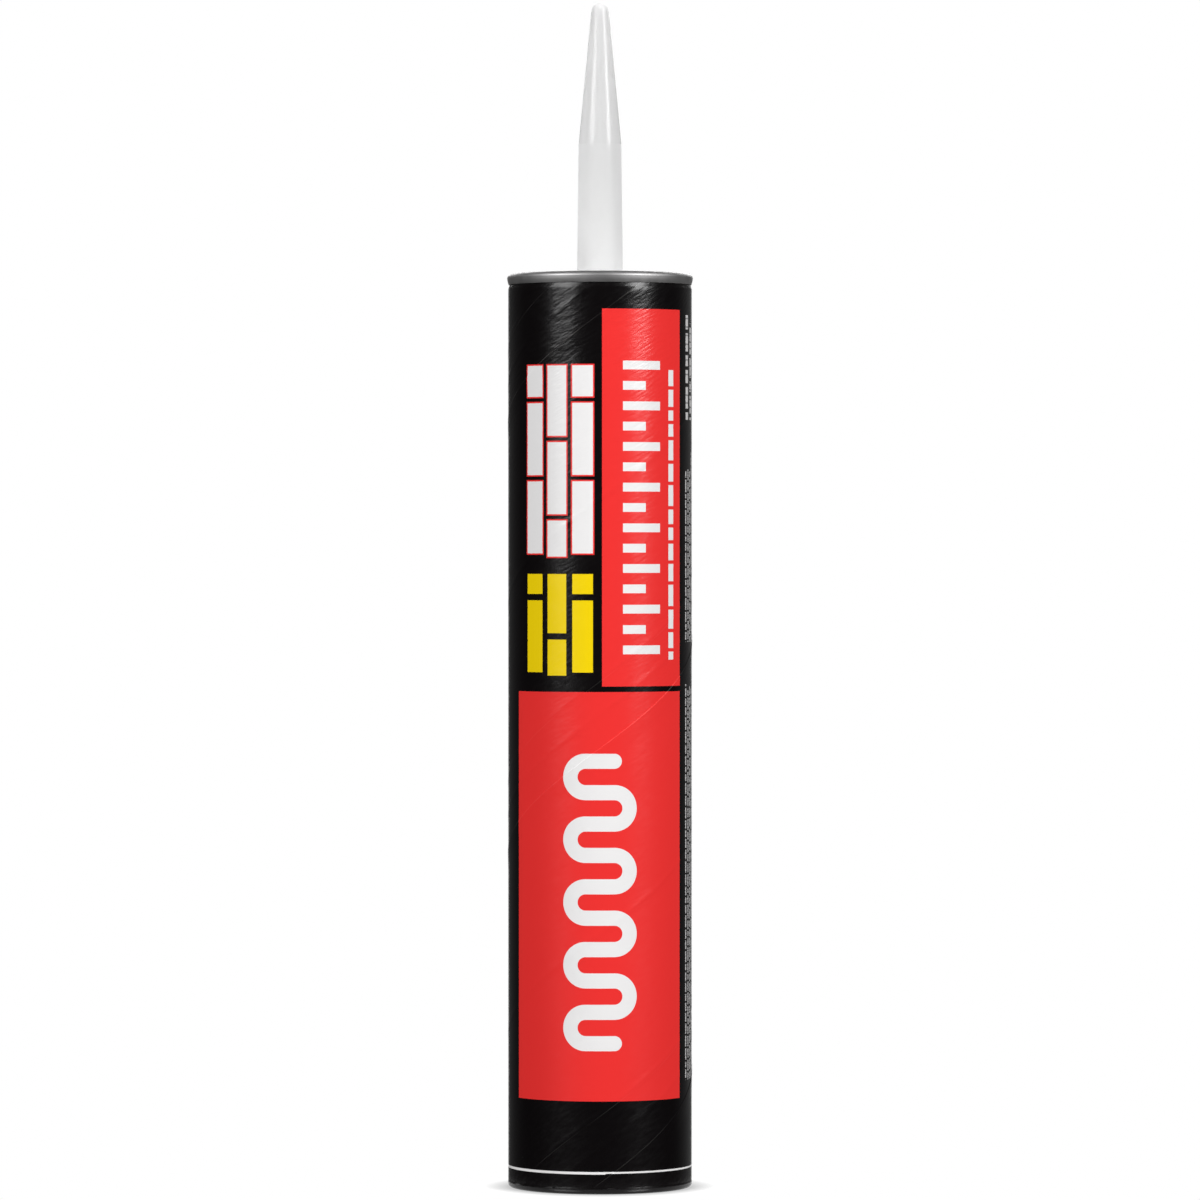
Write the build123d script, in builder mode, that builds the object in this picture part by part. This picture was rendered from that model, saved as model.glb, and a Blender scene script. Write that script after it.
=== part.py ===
"""Subfloor adhesive cartridge: wound fibre tube, crimped tinplate end, nozzle, foil seal, paste and plunger.

The cartridge stands on its rolled rear edge. The origin is the centre of that edge's resting plane, and
+Z runs up the axis towards the nozzle's tip. Every piece is turned about that axis, apart from the
plunger's ribs.
"""

from build123d import *
from math import acos, atan2, cos, hypot, sin
import os

# Driving dimensions, in millimetres

# Wound fibre tube
tube_outer_diameter = 64.0
tube_wall = 1.5
tube_edge_bevel = 0.6  # front edge of the tube, inside the tinplate's fold
edge_bevel_limit = 0.4  # largest share of the wall that one bevel takes
rim_height = 318.0  # from the floor to the top of the tinplate rim
roll_width = 3.2  # radial width of the rear edge, which is rolled inwards
roll_height = 3.6
roll_bevel = 0.8  # both lower edges of the roll, with the ring that it stands on between them

# Tinplate end
tin_thickness = 0.3
crimp_clearance = 0.05  # between the tinplate and each side of the fibre wall
skirt_height = 4.1  # how far the rim reaches down the outside of the tube
skirt_tuck_height = 1.5  # lower stretch of the skirt, pressed into the tube
skirt_tuck_depth = 0.35
groove_height = 1.6  # hollow left in the tube below the skirt
panel_depth = 4.6  # from the rim's top down to the flat panel
hub_rise = 1.6  # raised middle of the panel
hub_slope_width = 1.6
hub_clearance = 0.6  # round the edge of the nozzle's flange

# Nozzle
nozzle_height = 94.5  # from the rim's top to the tip
nozzle_root_diameter = 16.0  # where the barrel leaves its flange
nozzle_waist_diameter = 14.94  # where the barrel turns into the cone
nozzle_barrel_height = 44.9  # from the rim's top to the waist
nozzle_tip_radius = 3.05
nozzle_wall = 1.3
nozzle_tip_wall = 2.2  # closed end, to be cut off
flange_width = 3.5  # how far the flange under the tinplate stands out from the barrel
flange_thickness = 1.2
nozzle_clearance = 0.1  # between the nozzle and the tinplate round it

# Foil seal
foil_thickness = 0.12

# Plunger
plunger_height = 25.6
plunger_wall = 1.6
plunger_crown = 2.2
crown_bevel = 1.0  # edge of the crown
lip_depth = 0.7  # how far the two wiping lips stand out from the skirt
lip_height = 2.6
lip_slope_height = 0.6  # how each lip runs out into the skirt
lip_clearance = 0.15  # between the lips and the tube's bore
seat_clearance = 0.3  # between the skirt and the rolled edge below it
rib_count = 8
rib_thickness = 1.4
rib_height = 5.0
boss_diameter = 14.0

# Adhesive paste
paste_clearance = 0.1

# Sizes that follow
tube_outer_radius = tube_outer_diameter / 2
tube_bore_radius = tube_outer_radius - tube_wall
tube_top = rim_height - tin_thickness - crimp_clearance
edge_bevel = min(tube_edge_bevel, tube_wall * edge_bevel_limit)
mouth_radius = tube_outer_radius - roll_width
fold_inner_radius = tube_bore_radius - crimp_clearance
fold_outer_radius = tube_outer_radius + crimp_clearance
fold_underside = rim_height - tin_thickness
skirt_bottom = rim_height - skirt_height
tuck_top = skirt_bottom + skirt_tuck_height
groove_radius = tube_outer_radius - skirt_tuck_depth
panel_underside = rim_height - panel_depth - tin_thickness
hub_underside = panel_underside + hub_rise
root_radius = nozzle_root_diameter / 2
waist_radius = nozzle_waist_diameter / 2
flange_radius = root_radius + flange_width
hole_radius = root_radius + nozzle_clearance
hub_crest_radius = flange_radius + hub_clearance
hub_foot_radius = hub_crest_radius + hub_slope_width
flange_top = hub_underside - nozzle_clearance
flange_bottom = flange_top - flange_thickness
waist_z = rim_height + nozzle_barrel_height
tip_z = rim_height + nozzle_height
plunger_bottom = roll_height + seat_clearance
plunger_top = plunger_bottom + plunger_height
lip_radius = tube_bore_radius - lip_clearance
skirt_radius = lip_radius - lip_depth
cup_radius = skirt_radius - plunger_wall
crown_underside = plunger_top - plunger_crown
lower_lip_top = plunger_bottom + lip_height
upper_lip_top = plunger_top - crown_bevel
upper_lip_bottom = upper_lip_top - lip_height
paste_radius = tube_bore_radius - paste_clearance
paste_bottom = plunger_top + paste_clearance
paste_top = panel_underside - paste_clearance


def tip_tangent(cone_radius, cone_z, dome_radius, dome_top):
    """Point where a straight cone from (cone_radius, cone_z) runs smoothly into a round tip on the axis."""
    dome_centre = dome_top - dome_radius
    rise = dome_centre - cone_z
    lean = acos(dome_radius / hypot(cone_radius, rise)) - atan2(rise, cone_radius)
    return (dome_radius * cos(lean), dome_centre + dome_radius * sin(lean))


# Fibre tube: straight wall, shallow groove under the tinplate skirt, rear edge rolled inwards
with BuildPart() as tube:
    with BuildSketch(Plane.XZ):
        with BuildLine():
            Polyline(
                (tube_bore_radius, tube_top),
                (tube_outer_radius, tube_top),
                (tube_outer_radius, tuck_top),
                (groove_radius, skirt_bottom),
                (tube_outer_radius, skirt_bottom - groove_height),
                (tube_outer_radius, 0),
                (mouth_radius, 0),
                (mouth_radius, roll_height),
                (tube_bore_radius, roll_height),
                close=True,
            )
        make_face()
        front_corners = vertices().group_by(Axis.Y)[-1]
        chamfer(front_corners, length=edge_bevel)
        roll_corners = vertices().group_by(Axis.Y)[0]
        chamfer(roll_corners, length=roll_bevel)
    revolve(axis=Axis.Z)

# Tinplate end: one pressed sheet, from the hole in its hub to the skirt crimped round the tube's edge
with BuildPart() as tinplate_end:
    with BuildSketch(Plane.XZ):
        with BuildLine():
            underside = Polyline(
                (hole_radius, hub_underside),
                (hub_crest_radius, hub_underside),
                (hub_foot_radius, panel_underside),
                (fold_inner_radius, panel_underside),
                (fold_inner_radius, fold_underside - edge_bevel),
                (fold_inner_radius + edge_bevel, fold_underside),
                (fold_outer_radius - edge_bevel, fold_underside),
                (fold_outer_radius, fold_underside - edge_bevel),
                (fold_outer_radius, tuck_top),
                (fold_outer_radius - skirt_tuck_depth, skirt_bottom),
            )
            offset(underside, amount=tin_thickness, side=Side.LEFT, kind=Kind.INTERSECTION)
        make_face()
    revolve(axis=Axis.Z)

# Nozzle: flange held under the hub, tapered barrel through its hole, cone and closed round tip
tip_start = tip_tangent(waist_radius, waist_z, nozzle_tip_radius, tip_z)
bore_radius = waist_radius - nozzle_wall
bore_end_radius = nozzle_tip_radius - nozzle_wall
bore_end_z = tip_z - nozzle_tip_wall
with BuildPart() as nozzle:
    with BuildSketch(Plane.XZ):
        with BuildLine():
            Polyline(
                (0, bore_end_z),
                (bore_end_radius, bore_end_z),
                (bore_radius, waist_z),
                (bore_radius, flange_bottom),
                (flange_radius, flange_bottom),
                (flange_radius, flange_top),
                (root_radius, flange_top),
                (waist_radius, waist_z),
                tip_start,
            )
            RadiusArc(tip_start, (0, tip_z), -nozzle_tip_radius)
            Line((0, tip_z), (0, bore_end_z))
        make_face()
    revolve(axis=Axis.Z)

# Foil seal: disc on the underside of the nozzle's flange
with BuildPart() as foil_seal:
    with BuildSketch(Plane.XY.offset(flange_bottom - foil_thickness)):
        Circle(flange_radius)
    extrude(amount=foil_thickness)

# Adhesive paste: fills the tube from the plunger's crown to the tinplate panel
with BuildPart() as adhesive:
    with BuildSketch(Plane.XY.offset(paste_bottom)):
        Circle(paste_radius)
    extrude(amount=paste_top - paste_bottom)

# Plunger: cup with its mouth to the rear, two wiping lips, and a boss and ribs that take the push
with BuildPart() as plunger:
    with BuildSketch(Plane.XZ):
        with BuildLine():
            Polyline(
                (cup_radius, plunger_bottom),
                (lip_radius, plunger_bottom),
                (lip_radius, lower_lip_top),
                (skirt_radius, lower_lip_top + lip_slope_height),
                (skirt_radius, upper_lip_bottom - lip_slope_height),
                (lip_radius, upper_lip_bottom),
                (lip_radius, plunger_top),
                (0, plunger_top),
                (0, crown_underside),
                (cup_radius, crown_underside),
                close=True,
            )
        make_face()
        crown_corner = vertices().sort_by_distance((lip_radius, plunger_top))[0]
        chamfer(crown_corner, length=crown_bevel)
    revolve(axis=Axis.Z)
    with BuildSketch(Plane.XY.offset(crown_underside - rib_height)):
        Circle(boss_diameter / 2)
        with PolarLocations(0, rib_count):
            Rectangle(
                cup_radius + plunger_wall / 2,
                rib_thickness,
                align=(Align.MIN, Align.CENTER),
            )
    extrude(amount=rib_height + plunger_crown / 2)

pieces = {
    "tube": tube,
    "tinplate_end": tinplate_end,
    "nozzle": nozzle,
    "foil_seal": foil_seal,
    "adhesive": adhesive,
    "plunger": plunger,
}
os.makedirs("parts", exist_ok=True)
for name, piece in pieces.items():
    piece.part.label = name
    export_step(piece.part, f"parts/{name}.step")
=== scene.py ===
"""Looks of a subfloor adhesive cartridge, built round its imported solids.

The printed fibre tube, the tinplate end, the nozzle, the paste and the plunger are modelled here in full.
The studio is a white floor in a white surround, with dark walls that only light and reflections see.
Angles round the tube are measured from its printed front, -Y, towards +X.
"""

from math import asin, atan2, ceil, cos, exp, hypot, pi, radians, sin, tan

import bmesh
import bpy
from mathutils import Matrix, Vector


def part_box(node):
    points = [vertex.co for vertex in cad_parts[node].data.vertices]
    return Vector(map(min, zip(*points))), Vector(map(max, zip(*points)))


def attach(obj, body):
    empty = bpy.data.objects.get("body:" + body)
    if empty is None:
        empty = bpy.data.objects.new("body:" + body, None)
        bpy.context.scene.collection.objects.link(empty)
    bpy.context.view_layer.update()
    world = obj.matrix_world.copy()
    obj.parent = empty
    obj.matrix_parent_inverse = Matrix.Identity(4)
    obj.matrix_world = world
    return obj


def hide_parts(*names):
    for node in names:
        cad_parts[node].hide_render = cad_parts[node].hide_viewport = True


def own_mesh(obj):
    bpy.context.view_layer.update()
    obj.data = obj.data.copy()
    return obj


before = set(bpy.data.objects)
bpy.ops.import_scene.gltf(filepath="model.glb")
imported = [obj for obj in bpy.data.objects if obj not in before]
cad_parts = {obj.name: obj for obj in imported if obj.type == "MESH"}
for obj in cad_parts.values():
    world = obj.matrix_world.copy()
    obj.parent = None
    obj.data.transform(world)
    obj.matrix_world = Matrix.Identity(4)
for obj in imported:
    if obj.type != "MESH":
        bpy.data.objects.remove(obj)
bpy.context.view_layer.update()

MM = 0.001
HAIR = MM / 100  # what is nearer than this is taken as touching
TURN = 2 * pi

# Boxes of the solids, in metres

tube_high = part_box("tube")[1]
tin_low, tin_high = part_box("tinplate_end")
nozzle_low, nozzle_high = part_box("nozzle")
paste_low, paste_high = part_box("adhesive")
plunger_low, plunger_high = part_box("plunger")

# Tinplate end, and the groove in the tube that its skirt is tucked into

RIM_TOP = tin_high.z
TIN_THICKNESS = 0.3 * MM
CRIMP_GAP = 0.05 * MM
SKIRT_BOTTOM = RIM_TOP - 3.8 * MM
TUCK_TOP = SKIRT_BOTTOM + 1.5 * MM
TUCK_DEPTH = 0.5 * MM
TUCK_ROUND = 5.0 * MM
GROOVE_FOOT = SKIRT_BOTTOM - 1.6 * MM
GROOVE_ROUND, GROOVE_FOOT_ROUND = 0.6 * MM, 0.8 * MM
PANEL_UNDERSIDE = tin_low.z
PANEL_ROUND = 0.5 * MM
HUB_UNDERSIDE = PANEL_UNDERSIDE + 1.6 * MM
HUB_CREST, HUB_FOOT = 12.1 * MM, 13.7 * MM  # radii at the ends of the hub's slope
HUB_CREST_ROUND, HUB_FOOT_ROUND = 0.5 * MM, 0.8 * MM
HOLE_RADIUS = 8.1 * MM

# Fibre tube

TUBE_RADIUS = 32.0 * MM
TUBE_WALL = 1.5 * MM
BORE_RADIUS = TUBE_RADIUS - TUBE_WALL
TUBE_TOP = tube_high.z
EDGE_ROUND = 1.35 * MM  # outside of the front edge, under the tinplate
BORE_ROUND = 0.12 * MM  # inside of that edge
MOUTH_RADIUS = TUBE_RADIUS - 3.2 * MM
ROLL_HEIGHT = 3.6 * MM
ROLL_ROUND = 1.4 * MM  # both lower edges of the roll
ROLL_LIP_ROUND, ROLL_ROOT_ROUND = 0.8 * MM, 0.3 * MM  # its upper edge, and where it meets the bore
FOLD_STEP = 0.08 * MM  # how far the wall swells where the roll starts
FOLD_TOP, FOLD_FOOT = 2.5 * MM, 1.9 * MM
FOLD_ROUND = 1.0 * MM

# Spiral winding of the outer paper, from the roll to the front edge

WIND_FOOT = ROLL_ROUND
WIND_PITCH = 149.6 * MM
WIND_TURNS = (TUBE_TOP - WIND_FOOT) / WIND_PITCH
SEAM_HEIGHT = 303.2 * MM  # where the seam crosses the front of the tube
SEAM_STEP = 0.13 * MM  # one paper's thickness
SEAM_FACE = 0.14 * MM  # how far the step takes to rise, round the tube
SEAM_LAP = 9.0 * MM  # how far the lap takes to run out
RIDGE_HEIGHT = 0.05 * MM  # seams of the plies below, which show through
RIDGE_WIDTH = 1.6 * MM
RIDGE_OFFSETS = (12.0 * MM, 24.0 * MM, 86.0 * MM)  # up the tube from the outer seam

# Nozzle

TIP_TOP = nozzle_high.z
ROOT_RADIUS, WAIST_RADIUS, TIP_RADIUS = 8.0 * MM, 7.47 * MM, 3.05 * MM
WAIST_HEIGHT = RIM_TOP + 44.9 * MM
WAIST_ROUND = 4.0 * MM
NOZZLE_WALL = 1.3 * MM
TIP_WALL = 2.2 * MM  # closed end of the bore
TIP_SHARE = 0.999  # of its radius, so that the tip's arc doesn't pass the axis
NOZZLE_BORE_ROUND = 0.8 * MM
FLANGE_RADIUS = nozzle_high.x
FLANGE_FOOT = nozzle_low.z
FLANGE_TOP = FLANGE_FOOT + 1.2 * MM
FLANGE_ROUND = 0.3 * MM

# Paste

PASTE_ROUND = 0.6 * MM

# Plunger, with a boss and ribs under its crown

LIP_RADIUS = plunger_high.x
SKIRT_RADIUS = LIP_RADIUS - 0.7 * MM
CUP_RADIUS = SKIRT_RADIUS - 1.6 * MM
CROWN_UNDERSIDE = plunger_high.z - 2.2 * MM
CROWN_ROUND = 1.0 * MM
CUP_ROUND = 1.2 * MM
LOWER_LIP_TOP = plunger_low.z + 2.6 * MM
UPPER_LIP_FOOT = plunger_high.z - 3.6 * MM
LIP_SLOPE = 0.6 * MM  # height over which a lip runs out into the skirt
LIP_ROUND = 0.3 * MM
FOOT_OUTER_ROUND, FOOT_INNER_ROUND = 0.4 * MM, 0.5 * MM
RIB_COUNT = 8
RIB_HALF = 0.7 * MM
RIB_HEIGHT = 5.0 * MM
RIB_SINK = 1.1 * MM  # how far they run into the crown
RIB_REACH = 28.85 * MM  # how far out they run, into the cup's wall
RIB_EASE = 0.3 * MM
BOSS_RADIUS = 7.0 * MM

# Fineness of the meshes

WALL_ROW = 1.25 * MM
TUBE_COLUMNS, TIN_COLUMNS, PLUNGER_COLUMNS = 192, 160, 128
NOZZLE_COLUMNS, PASTE_COLUMNS = 96, 96
FLOOR_COLUMNS, WALL_COLUMNS = 96, 96
ARC_STEP = radians(12)
SHARP_ANGLE = radians(38)
BOSS_STEPS = 6  # of the boss's edge between two ribs

# Bake maps: the margins round a piece, and the places of the tube's outside and inside

MAP_SIDE, MAP_END = 0.03, 0.02
TUBE_MAP_END = 0.01
OUTSIDE_LEFT, OUTSIDE_WIDTH = 0.02, 0.62
OUTSIDE_STRETCH = 2.02  # the outside is a little under half of the section's length
INSIDE_LEFT, INSIDE_WIDTH = 0.68, 0.30


# Sections and turned meshes


def corner_arc(before, corner, after, radius):
    """Points of the arc that rounds the corner between two straight runs."""
    back = (before - corner).normalized()
    ahead = (after - corner).normalized()
    half = back.angle(ahead) / 2
    centre = corner + (back + ahead).normalized() * radius / sin(half)
    first = corner + back * radius / tan(half) - centre
    last = corner + ahead * radius / tan(half) - centre
    start = atan2(first.y, first.x)
    sweep = (atan2(last.y, last.x) - start + pi) % TURN - pi
    steps = max(2, ceil(abs(sweep) / ARC_STEP))
    angles = [start + sweep * step / steps for step in range(steps + 1)]
    return [centre + radius * Vector((cos(angle), sin(angle))) for angle in angles]


def outline(points):
    """A section's points (r, z), where a third number rounds that corner by an arc of its radius."""
    count = len(points)
    made = []
    for index, point in enumerate(points):
        corner = Vector(point[:2])
        if len(point) == 2:
            made.append(corner)
            continue
        before = Vector(points[index - 1][:2])
        after = Vector(points[(index + 1) % count][:2])
        made.extend(corner_arc(before, corner, after, point[2]))
    return made


def sheet_outline(path, thickness):
    """Closed section of a sheet: the path, and back along its left side at one thickness."""
    raised = []
    last = len(path) - 1
    for index, point in enumerate(path):
        run = path[min(index + 1, last)] - path[max(index - 1, 0)]
        run.normalize()
        raised.append(point + thickness * Vector((-run.y, run.x)))
    return path + raised[::-1]


def columns_round(count):
    """Angles of evenly spaced columns."""
    return [TURN * index / count for index in range(count)]


def share_round(angle):
    """Share of a turn, from the back of the tube over its front to the back again."""
    return (angle + pi) / TURN


def whole_chart(row, angle, length):
    """Place in the bake map of a piece whose whole section is spread over it."""
    return (MAP_SIDE + (1 - 2 * MAP_SIDE) * share_round(angle), MAP_END + (1 - 2 * MAP_END) * length)


def turned(name, section, columns, closed, twist=None, relief=None, chart=whole_chart):
    """Object turned about the axis from a section of (r, z) points.

    twist gives each row's own turn, relief(row, angle) what a vertex stands proud by, and
    chart(row, angle, length) its place in the bake map, where length runs from 0 to 1 along the section.
    """
    rows = len(section)
    twist = twist or [0.0] * rows
    vertices = []
    rings = []
    for row, point in enumerate(section):
        first = len(vertices)
        if point.x < HAIR:
            vertices.append((0, 0, point.y))
            rings.append([first] * (len(columns) + 1))
            continue
        for angle in columns:
            radius = point.x + (relief(row, angle) if relief else 0)
            turn = angle + twist[row]
            vertices.append((radius * sin(turn), -radius * cos(turn), point.y))
        rings.append([*range(first, len(vertices)), first])

    spans = [(row, (row + 1) % rows) for row in range(rows if closed else rows - 1)]
    lengths = [0.0]
    for row, after in spans:
        lengths.append(lengths[-1] + (section[after] - section[row]).length)
    round_angles = columns + [columns[0] + TURN]
    faces = []
    spots = []
    for span, (row, after) in enumerate(spans):
        shift = (twist[after] - twist[row] + pi) % TURN - pi
        start, end = lengths[span] / lengths[-1], lengths[span + 1] / lengths[-1]
        for column in range(len(columns)):
            left = round_angles[column] + twist[row]
            right = round_angles[column + 1] + twist[row]
            whole_turns = round((left + right + shift) / 2 / TURN)
            corners = (
                (rings[row][column], left, start),
                (rings[row][column + 1], right, start),
                (rings[after][column + 1], right + shift, end),
                (rings[after][column], left + shift, end),
            )
            face = []
            for vertex, angle, length in corners:
                if vertex not in face:
                    face.append(vertex)
                    spots.extend(chart(row, angle - whole_turns * TURN, length))
            faces.append(face)

    mesh = bpy.data.meshes.new(name)
    mesh.from_pydata(vertices, [], faces)
    mesh.uv_layers.new(name="OFBake").data.foreach_set("uv", spots)
    settle(mesh)
    return placed(name, mesh)


def settle(mesh):
    """Turns a mesh's normals outwards, and smooths all but its sharp edges."""
    work = bmesh.new()
    work.from_mesh(mesh)
    bmesh.ops.recalc_face_normals(work, faces=work.faces)
    work.to_mesh(mesh)
    work.free()
    mesh.shade_smooth()
    mesh.set_sharp_from_angle(angle=SHARP_ANGLE)


def placed(name, data):
    """New object of a mesh, camera or lamp, in the scene."""
    made = bpy.data.objects.new(name, data)
    bpy.context.scene.collection.objects.link(made)
    return made


# Shader nodes

NOISE_LOW, NOISE_HIGH = 0.3, 0.7  # most of a noise lies between these


def colour(red, green, blue):
    """Opaque colour."""
    return (red, green, blue, 1.0)


class Shader:
    """Adds nodes to one new material and links them."""

    def __init__(self, name):
        self.material = bpy.data.materials.new(name)
        self.material.use_nodes = True
        self.tree = self.material.node_tree
        self.surface = self.tree.nodes["Principled BSDF"]

    def put(self, socket, value):
        """Links a socket to another, or sets its own value."""
        if isinstance(value, bpy.types.NodeSocket):
            self.tree.links.new(value, socket)
        else:
            socket.default_value = value

    def put_all(self, node, values):
        """Puts values into a node's inputs by name, where _ stands for a space."""
        for key, value in values.items():
            self.put(node.inputs[key.replace("_", " ")], value)

    def node(self, kind, settings=None, **values):
        """New node with its settings, and with its inputs by name."""
        made = self.tree.nodes.new(kind)
        for key, value in (settings or {}).items():
            setattr(made, key, value)
        self.put_all(made, values)
        return made

    def math(self, operation, *values, clamp=False):
        """Result of a math node."""
        made = self.node("ShaderNodeMath", {"operation": operation, "use_clamp": clamp})
        for socket, value in zip(made.inputs, values):
            self.put(socket, value)
        return made.outputs[0]

    def mix(self, share, first, second, blend="MIX"):
        """Colour between two others, or the first with a share of the second blended in."""
        made = self.node("ShaderNodeMix", {"data_type": "RGBA", "blend_type": blend})
        # The node's two colours are its inputs 6 and 7, and the mixed one is its output 2
        self.put(made.inputs[0], share)
        self.put(made.inputs[6], first)
        self.put(made.inputs[7], second)
        return made.outputs[2]

    def noise(self, vector, scale, detail=2.0):
        """Noise of about 0 to 1, with scale in features to a metre."""
        made = self.node("ShaderNodeTexNoise", Vector=vector, Scale=scale, Detail=detail)
        return made.outputs["Fac"]

    def ramp(self, value, low, high, to_low=0.0, to_high=1.0):
        """Value taken from one range to another, and kept inside it."""
        made = self.node(
            "ShaderNodeMapRange",
            Value=value, From_Min=low, From_Max=high, To_Min=to_low, To_Max=to_high,
        )
        return made.outputs["Result"]

    def spread(self, noise, to_low=0.0, to_high=1.0):
        """Noise spread over a range."""
        return self.ramp(noise, NOISE_LOW, NOISE_HIGH, to_low, to_high)

    def place(self):
        """Place on the object, in metres."""
        return self.node("ShaderNodeTexCoord").outputs["Object"]

    def axes(self, place):
        """X, Y and Z of a place."""
        return self.node("ShaderNodeSeparateXYZ", Vector=place).outputs

    def bump(self, height, distance, strength=1.0):
        """Normal of a surface that this height raises by up to a distance."""
        made = self.node("ShaderNodeBump", Height=height, Distance=distance, Strength=strength)
        return made.outputs["Normal"]

    def finish(self, **values):
        """Sets the surface's inputs by name."""
        self.put_all(self.surface, values)
        return self.material


# Masks for print and finishes

PRINT_EDGE = 0.14  # softness of a printed edge, in millimetres


def apart(shader, first, second):
    """How far apart two values are."""
    return shader.math("ABSOLUTE", shader.math("SUBTRACT", first, second))


def root_of_squares(shader, first, second):
    """Length of the line whose two runs are these values."""
    squares = [shader.math("MULTIPLY", value, value) for value in (first, second)]
    return shader.math("SQRT", shader.math("ADD", *squares))


def choose(shader, share, first, second):
    """The first value where share is 0, and the second where it is 1."""
    return shader.math("MULTIPLY_ADD", share, shader.math("SUBTRACT", second, first), first)


def band(shader, value, low, high, edge=PRINT_EDGE):
    """1 between two limits and 0 outside them."""
    off = apart(shader, value, (low + high) / 2)
    return shader.math("MULTIPLY_ADD", off, -1 / edge, (high - low) / 2 / edge + 0.5, clamp=True)


def under(shader, value, limit, edge=PRINT_EDGE):
    """1 where a value is under a limit, and 0 over it."""
    left = shader.math("SUBTRACT", limit, value)
    return shader.math("MULTIPLY_ADD", left, 1 / edge, 0.5, clamp=True)


def both(shader, *masks):
    """Where all of the masks are."""
    made = masks[0]
    for mask in masks[1:]:
        made = shader.math("MULTIPLY", made, mask)
    return made


def repeats(shader, value, start, pitch):
    """Number of the repeat that a value lies in, and how far into it."""
    from_start = shader.math("SUBTRACT", value, start)
    number = shader.math("FLOOR", shader.math("DIVIDE", from_start, pitch))
    return number, shader.math("FLOORED_MODULO", from_start, pitch)


# Print on the tube, in millimetres round the tube from its front and up from its foot

BLACK_INK = colour(0.0038, 0.0030, 0.0033)
RED_INK = colour(0.89, 0.036, 0.034)
YELLOW_INK = colour(0.93, 0.68, 0.004)
WHITE_INK = colour(0.88, 0.87, 0.87)
GREY_INK = colour(0.62, 0.61, 0.61)
# Added along the winding lines: bare paper where the ink is worn, and a painted highlight where a lap or
# ridge catches light
SEAM_PAPER_AND_SHEEN = colour(0.10, 0.095, 0.09)

FIELD_LEFT, FIELD_RIGHT = -34.3, 33.2
FIELD_FOOT, FIELD_TOP = 32.1, 304.9
DIVIDER_FOOT, DIVIDER_TOP = 173.0, 174.9
COLUMN_EDGE = 0.7  # right side of the black column

BOARD_LEFT, BOARD_COLUMNS = -29.8, 3
BOARD_WIDTH, BOARD_LENGTH = 9.5, 27.0  # with the gap to the next board
BOARD_GAP = 2.2
BOARD_OUTLINE = 0.5
YELLOW_FOOT, YELLOW_TOP = 178.6, 213.6
WHITE_FOOT, WHITE_TOP = 219.6, 285.4

BEAD_FOOT, BEAD_PITCH, BEAD_RUNS = 52.0, 10.8, 10
BEAD_REACH = 5.0  # half length of a straight run
BEAD_HALF = 2.6  # half width of the stroke

TICK_LEFT = 8.0
TICK_LONG, TICK_SHORT = 14.5, 8.5
TICK_FOOT, TICK_PITCH, TICK_COUNT = 184.0, 7.0, 15
TICK_THICK = 3.0

CAPTION_LEFT, CAPTION_RIGHT = 26.6, 29.2
CAPTION_FOOT, CAPTION_TOP = 184.0, 284.0
CAPTION_WORD = 7.0

DASH_GAP, DASH_START = 0.07, 0.11  # where a gap ends and a dash is full, in words from the gap's middle
SMALL_LEFT = 37.0
SMALL_BLOCKS = (  # foot, top, lines, pitch, thickness and word of each block
    (38.0, 177.0, 10, 2.4, 0.95, 3.8),
    (190.0, 257.0, 10, 2.4, 0.95, 3.8),
    (267.0, 304.0, 2, 4.6, 2.5, 7.5),
)
SMALL_SHIFT = 137.0  # between one line's dashes and the next line's
SMALL_RAGGED = 0.12  # share of a block's length by which its lines fall short
SMALL_BREAK = 1.2  # length of the short breaks within a dash, in thicknesses of its line
SMALL_BREAK_INK = 0.4  # how much ink shows in them

RING_FOOT, RING_TOP = 6.95, 7.8
RING_STEP, RING_STEP_AT = 0.25, 1.9  # the ring's ends meet with a small step

SEAM_LINE = 0.32  # width of the line along the seam: partly bare paper, partly a painted highlight on the lap's edge
WORN_AND_SHEEN_LINES = (  # height above the seam, and how strong the line of worn ink and painted highlight is at the foot and at the top
    (0.0, 0.15, 0.9),
    (23.0, 0.15, 0.2),
)
PATCH_LOW, PATCH_HIGH = 0.42, 0.62  # the clouds between which the worn ink and painted highlight set in
PATCH_LEAST = 0.1

CREASE_SCALE = 570.0
CREASE_LOW, CREASE_HIGH = 130.0, 290.0  # the paper is most creased towards the crimped end
CREASE_LEAST = 0.35
CLOUD_WEIGHT, FIBRE_WEIGHT = 1.7, 0.07  # in the paper's relief, beside its creases


def boards(shader, across, up, foot, top, grow):
    """Floor boards along the tube with staggered ends, each larger all round by grow."""
    column, beside = repeats(shader, across, BOARD_LEFT, BOARD_WIDTH)
    odd = shader.math("FLOORED_MODULO", column, 2.0)
    staggered = shader.math("MULTIPLY_ADD", odd, BOARD_LENGTH / 2, up)
    _, along = repeats(shader, staggered, foot, BOARD_LENGTH)
    half_gap = BOARD_GAP / 2 - grow
    right = BOARD_LEFT + BOARD_COLUMNS * BOARD_WIDTH
    return both(
        shader,
        band(shader, across, BOARD_LEFT + half_gap, right - half_gap),
        band(shader, up, foot - grow, top + grow),
        band(shader, beside, half_gap, BOARD_WIDTH - half_gap),
        band(shader, along, half_gap, BOARD_LENGTH - half_gap),
    )


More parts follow.
